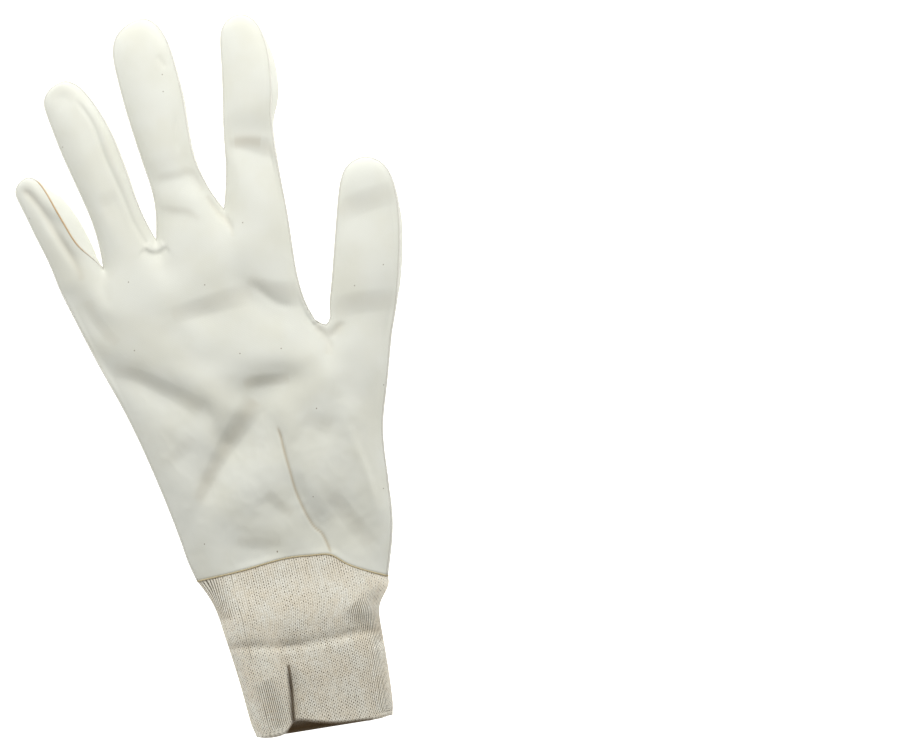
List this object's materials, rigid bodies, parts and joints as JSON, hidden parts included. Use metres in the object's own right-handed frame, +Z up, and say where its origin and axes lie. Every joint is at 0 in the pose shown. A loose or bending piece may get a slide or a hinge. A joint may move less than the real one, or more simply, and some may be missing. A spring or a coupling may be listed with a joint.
{
  "type": "cotton work glove",
  "caption": "Work glove of undyed cotton drill with a rib knit wrist cuff, lying flat with the palm up.",
  "frame": {"origin": "middle of the glove's box, on the surface that it lies on", "axes": "+Y from the cuff towards the fingertips, +X towards the thumb, +Z up out of the palm"},
  "size_m": [0.141, 0.2632, 0.0129],
  "materials": {
    "drill_cloth": "undyed cotton drill, matte, with a fine twill",
    "rib_knit": "undyed cotton rib knit, matte, open stitches"
  },
  "bodies": {
    "root": {"palm_panel": "drill_cloth", "back_panel": "drill_cloth", "knit_cuff": "rib_knit"}
  },
  "joints": []
}
